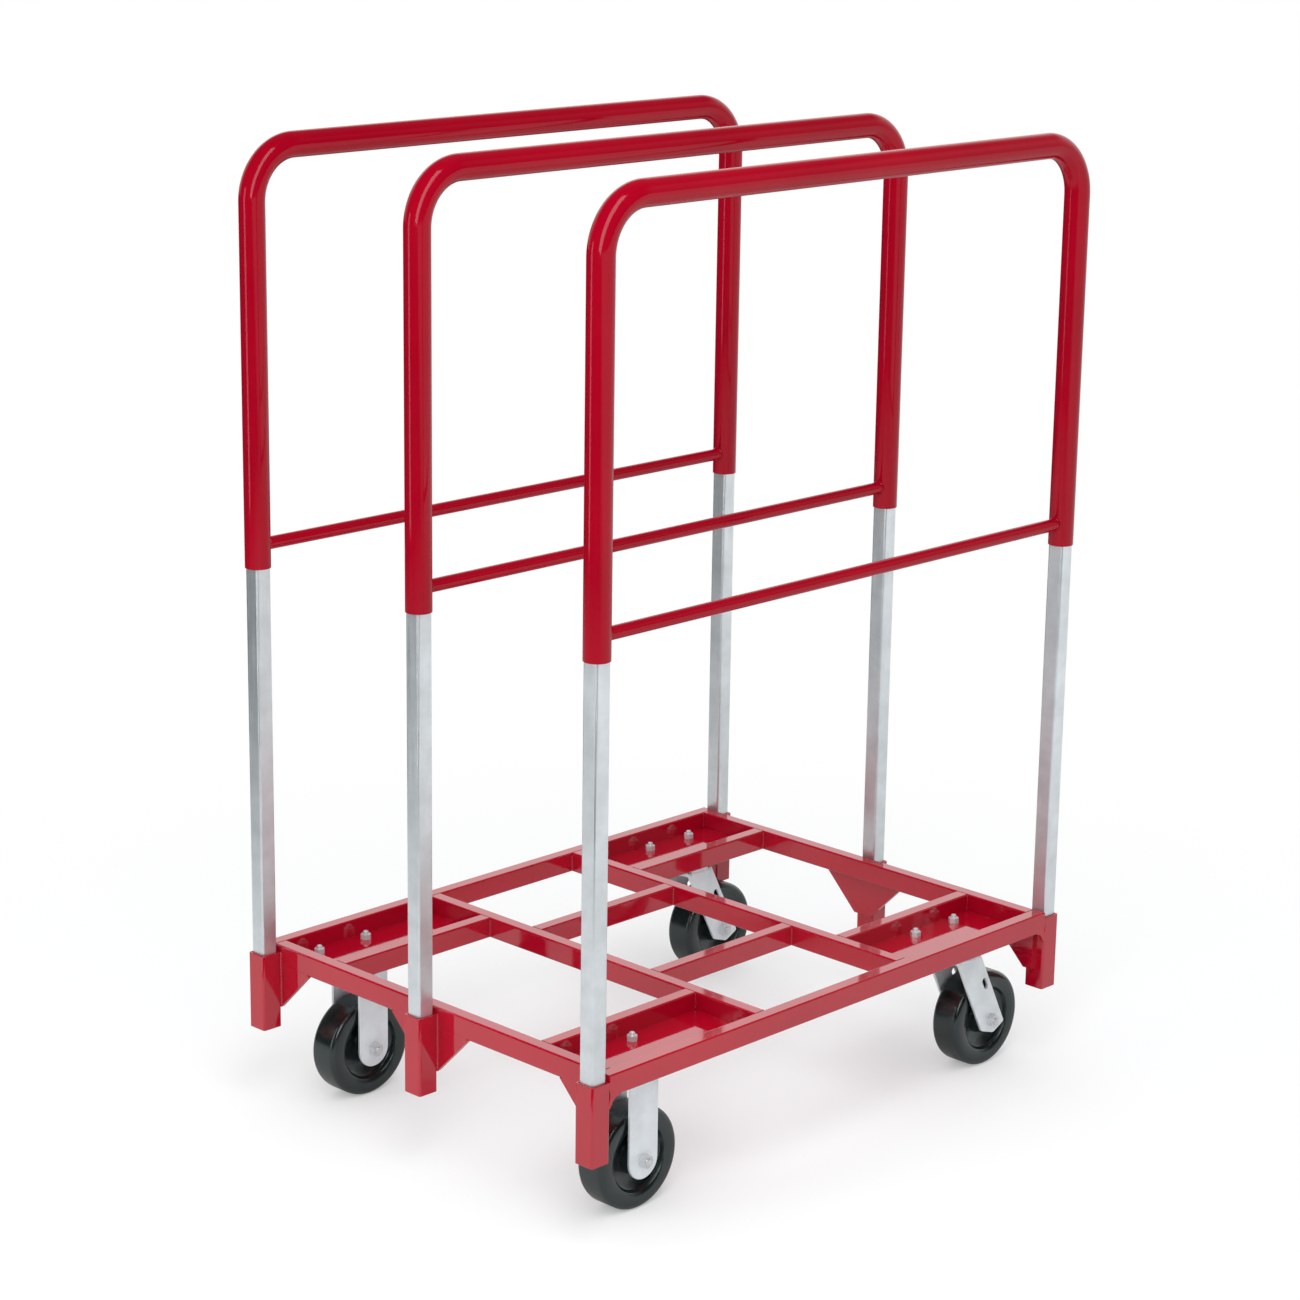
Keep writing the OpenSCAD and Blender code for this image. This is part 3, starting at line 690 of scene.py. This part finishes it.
def corner_weld(bm, sx, sy):
    """Fills the seam of a side rail and its corner socket flush, with a hollow fillet under it."""
    inner, outer = SIDE_OUT - 0.007, SIDE_OUT - FLUSH
    seam_in, seam_out = END_OUT - 0.001, END_OUT + 0.0042
    top, low = SOCKET_TOP - 0.0002, DECK_LOW + 0.0025
    fillet = 0.020
    line = [(seam_out, top), (seam_in, top), (seam_in, low), (seam_in - fillet, low)]
    for i in range(9):
        turn = math.radians(10 * i)
        line.append((seam_in - fillet * (1 - math.sin(turn)),
                     DECK_LOW - fillet * (1 - math.cos(turn))))
    line.append((seam_out, DECK_LOW - fillet))
    part = bmesh.new()
    verts = [part.verts.new((x, inner, z)) for x, z in line]
    skin = bmesh.ops.contextual_create(part, geom=verts)["faces"]
    made = bmesh.ops.extrude_face_region(part, geom=skin)["geom"]
    bmesh.ops.translate(part, verts=verts_of(made), vec=(0, outer - inner, 0))
    put(bm, part, Matrix.Diagonal((sx, sy, 1, 1)))


def deck_welds():
    """Upright beads in the deck's corners, and filled seams round the sockets."""
    bm = bmesh.new()
    low, high = DECK_LOW + 0.002, DECK_TOP - 0.0025
    over = PAD_TOP + 0.001
    reach = SOCKET_HALF + GUSSET_REACH - 0.004
    for sx, end in ((-1, "front"), (1, "rear")):
        for sy, side in ((-1, "left"), (1, "right")):
            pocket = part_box("pocket_bar_%s_%s" % (end, side))
            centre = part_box("centre_bar_" + side)
            feet = (over, low) if sy < 0 else (low, over)
            upright = [(sx * END_IN, sy * SIDE_IN, over), (sx * CROSS_OUT, sy * SIDE_IN, over),
                       (sx * CROSS_IN, sy * SIDE_IN, low)]
            for face, foot in zip(pocket, feet):
                upright += [(sx * END_IN, face.y, foot), (sx * CROSS_OUT, face.y, foot)]
            upright += [(sx * CROSS_IN, face.y, low) for face in centre]
            for x, y, foot in upright:
                bead(bm, (x, y, foot), (x, y, high), 0.0022)
        seam = sorted((sx * (END_OUT - 0.005), sx * (END_OUT - FLUSH)))
        for row in HOOPS:
            y = middle_y("hoop_" + row)
            block(bm, (seam[0], max(y - reach, -SIDE_IN), DECK_LOW - 0.0004),
                  (seam[1], min(y + reach, SIDE_IN), DECK_LOW + 0.0028))
            for sy in (-1, 1):
                edge = y + sy * SOCKET_HALF
                if abs(edge) < SIDE_OUT - 0.001:
                    bead(bm, (sx * END_OUT, edge, GUSSET_LOW), (sx * END_OUT, edge, SOCKET_TOP),
                         0.0026)
                else:
                    corner_weld(bm, sx, sy)
    finish_piece(bm, "deck_welds", "deck", BAR_RED, 60)


def rail_caps():
    """Small plates that close the open ends of the side rails."""
    bm = bmesh.new()
    wall = 0.0019
    for sx in (-1, 1):
        x_low, x_high = sorted((sx * (END_OUT - 0.0004), sx * (END_OUT - 0.0034)))
        for side in SIDES:
            low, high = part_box("side_rail_" + side)
            flat_plate(bm, (x_low, low.y + wall, low.z + wall),
                       (x_high, high.y - wall, high.z - wall), 0.0006, 0.0003)
    finish_piece(bm, "rail_caps", "deck", BAR_RED)


def tie_welds(row):
    """Rings of weld where the tie bar's coped ends meet the hoop."""
    y = middle_y("hoop_" + row)
    bm = bmesh.new()
    for side in (-1, 1):
        part = bmesh.new()
        ring = bmesh.ops.create_circle(part, cap_ends=False, radius=0.0018, segments=8)["verts"]
        bmesh.ops.translate(part, verts=ring, vec=(TIE_R, 0, 0))
        bmesh.ops.rotate(part, verts=ring, cent=(0, 0, 0),
                         matrix=Matrix.Rotation(math.pi / 2, 3, "X"))
        bmesh.ops.spin(part, geom=part.verts[:] + part.edges[:], cent=(0, 0, 0), axis=(0, 0, 1),
                       angle=math.tau, steps=40, use_merge=True, use_duplicate=False)
        bmesh.ops.rotate(part, verts=part.verts[:], cent=(0, 0, 0),
                         matrix=Matrix.Rotation(math.pi / 2, 3, "Y"))
        for v in part.verts:
            ripple = 1 + 0.12 * math.cos(20 * math.atan2(v.co.z, v.co.y))
            v.co.x = v.co.x * ripple + math.sqrt(TUBE_R ** 2 - min(abs(v.co.y), TIE_R) ** 2)
        bmesh.ops.scale(part, vec=(-side, 1, 1), verts=part.verts[:])
        put(bm, part, Matrix.Translation((side * LEG_X, y, TIE_Z)))
    finish_piece(bm, "hoop_%s_tie_welds" % row, "hoop_%s_body" % row, TUBE_RED, 60)


deck_welds()
rail_caps()
for row in HOOPS:
    tie_welds(row)


# Floor, light and camera

def towards(tree, place, side):
    """How far a point or direction lies towards one side of the studio."""
    dot = tree.nodes.new("ShaderNodeVectorMath")
    dot.operation = "DOT_PRODUCT"
    dot.inputs[1].default_value = side
    tree.links.new(place, dot.inputs[0])
    return dot.outputs["Value"]


def pale_floor():
    """A plain white floor that fades into the white surround away from the cart."""
    bm = bmesh.new()
    bmesh.ops.create_grid(bm, x_segments=1, y_segments=1, size=40)
    mesh = bpy.data.meshes.new("floor")
    bm.to_mesh(mesh)
    bm.free()
    floor = bpy.data.objects.new("floor", mesh)
    bpy.context.scene.collection.objects.link(floor)
    mat, tree, shader, place = new_finish("floor_white")
    shader.inputs["Roughness"].default_value = 0.9
    shader.inputs["Specular IOR Level"].default_value = 0.0
    ray = tree.nodes.new("ShaderNodeLightPath")
    length = tree.nodes.new("ShaderNodeVectorMath")
    length.operation = "LENGTH"
    tree.links.new(place, length.inputs[0])
    away = length.outputs["Value"]
    # Painted reflection, seen only by glossy rays: what the gloss of the cart mirrors is a grey
    # sheet under it, then a white side and a dark one, while other rays see the plain white floor
    far = spread(tree, towards(tree, place, (0.7, -0.7, 0.0)), 0.03, 0.88, 0.4, 1.8)
    painted_reflection_tone = mixed(tree, spread(tree, away, 1.0, 0.0, 1.5, 2.6), far, (0.58, 0.58, 0.58))
    tone = tree.nodes.new("ShaderNodeMix")
    tone.data_type = "RGBA"
    tone.inputs["A"].default_value = (0.912, 0.935, 0.945, 1)
    tree.links.new(ray.outputs["Is Glossy Ray"], tone.inputs["Factor"])
    tree.links.new(painted_reflection_tone, tone.inputs["B"])
    tree.links.new(tone.outputs["Result"], shader.inputs["Base Color"])
    # What the camera sees: shadows near the cart, plain white further out
    fade = times(tree, spread(tree, away, 0.28, 1.0, 0.4, 1.8), ray.outputs["Is Camera Ray"])
    glow = tree.nodes.new("ShaderNodeEmission")
    glow.inputs["Strength"].default_value = 1.0
    blend = tree.nodes.new("ShaderNodeMixShader")
    tree.links.new(fade, blend.inputs["Fac"])
    tree.links.new(shader.outputs["BSDF"], blend.inputs[1])
    tree.links.new(glow.outputs["Emission"], blend.inputs[2])
    tree.links.new(blend.outputs["Shader"], tree.nodes["Material Output"].inputs["Surface"])
    mesh.materials.append(mat)


def white_surround(level_light, top_light):
    """White to the camera, a soft light that grows upwards, and one bright side for the gloss."""
    world = bpy.data.worlds.new("surround")
    bpy.context.scene.world = world
    world.use_nodes = True
    tree = world.node_tree
    back = tree.nodes["Background"]
    ray = tree.nodes.new("ShaderNodeLightPath")
    place = tree.nodes.new("ShaderNodeTexCoord").outputs["Generated"]
    height = towards(tree, place, (0.0, 0.0, 1.0))
    shine = spread(tree, towards(tree, place, (0.8, 0.6, 0.0)), 0.03, 1.12, 0.05, 0.75)
    shine = times(tree, shine, spread(tree, height, 1.0, 0.12, 0.42, 0.62))
    level = spread(tree, height, level_light, top_light, 0.0, 1.0)
    for kind, seen in (("Is Glossy Ray", shine), ("Is Camera Ray", None)):
        pick = tree.nodes.new("ShaderNodeMix")
        tree.links.new(ray.outputs[kind], pick.inputs["Factor"])
        tree.links.new(level, pick.inputs["A"])
        if seen:
            tree.links.new(seen, pick.inputs["B"])
        else:
            pick.inputs["B"].default_value = 1.0
        level = pick.outputs["Result"]
    tree.links.new(level, back.inputs["Strength"])
    back.inputs["Color"].default_value = (1, 1, 1, 1)


def softbox(name, foot, head, aim, width, power):
    """A long lamp from foot to head that faces aim."""
    foot, head = Vector(foot), Vector(head)
    middle = (foot + head) / 2
    light = bpy.data.lights.new(name, "AREA")
    light.shape = "RECTANGLE"
    light.size = width
    light.size_y = (head - foot).length
    light.energy = power
    along = (head - foot).normalized()
    across = along.cross(middle - Vector(aim)).normalized()
    holder = bpy.data.objects.new(name, light)
    holder.matrix_world = Matrix((across, along, across.cross(along))).transposed().to_4x4()
    holder.location = middle
    bpy.context.scene.collection.objects.link(holder)


def photo_camera(azimuth, elevation, roll, place, focal_px):
    """Camera at the photograph's viewing angle; the focal length is in pixels of its frame."""
    frame_px, sensor = 1300, 36
    az, el, lean = (math.radians(a) for a in (azimuth, elevation, roll))
    back = Vector((math.sin(az) * math.cos(el), -math.cos(az) * math.cos(el), math.sin(el)))
    right = Vector((math.cos(az), math.sin(az), 0))
    up = back.cross(right)
    across = right * math.cos(lean) + up * math.sin(lean)
    above = up * math.cos(lean) - right * math.sin(lean)
    data = bpy.data.cameras.new("photo_camera")
    data.sensor_width = sensor
    data.lens = focal_px * sensor / frame_px
    data.clip_end = 200
    camera = bpy.data.objects.new("photo_camera", data)
    camera.matrix_world = Matrix((across, above, back)).transposed().to_4x4()
    camera.location = place
    bpy.context.scene.collection.objects.link(camera)
    bpy.context.scene.camera = camera


pale_floor()
white_surround(level_light=0.35, top_light=1.15)
softbox("front_softbox", foot=(-3.35, -2.17, 1.4), head=(-0.35, -1.29, 4.0), aim=(0, 0, 1),
        width=1.05, power=60)
softbox("side_softbox", foot=(-2.5, 0.9, 0.05), head=(-2.5, 0.9, 1.9), aim=(0, 0, 0.9),
        width=0.5, power=8)
photo_camera(azimuth=-45.832, elevation=15.107, roll=0.836, place=(-3.4347, -3.3019, 1.9726),
             focal_px=3304.4)
bpy.context.scene.view_settings.view_transform = "Standard"
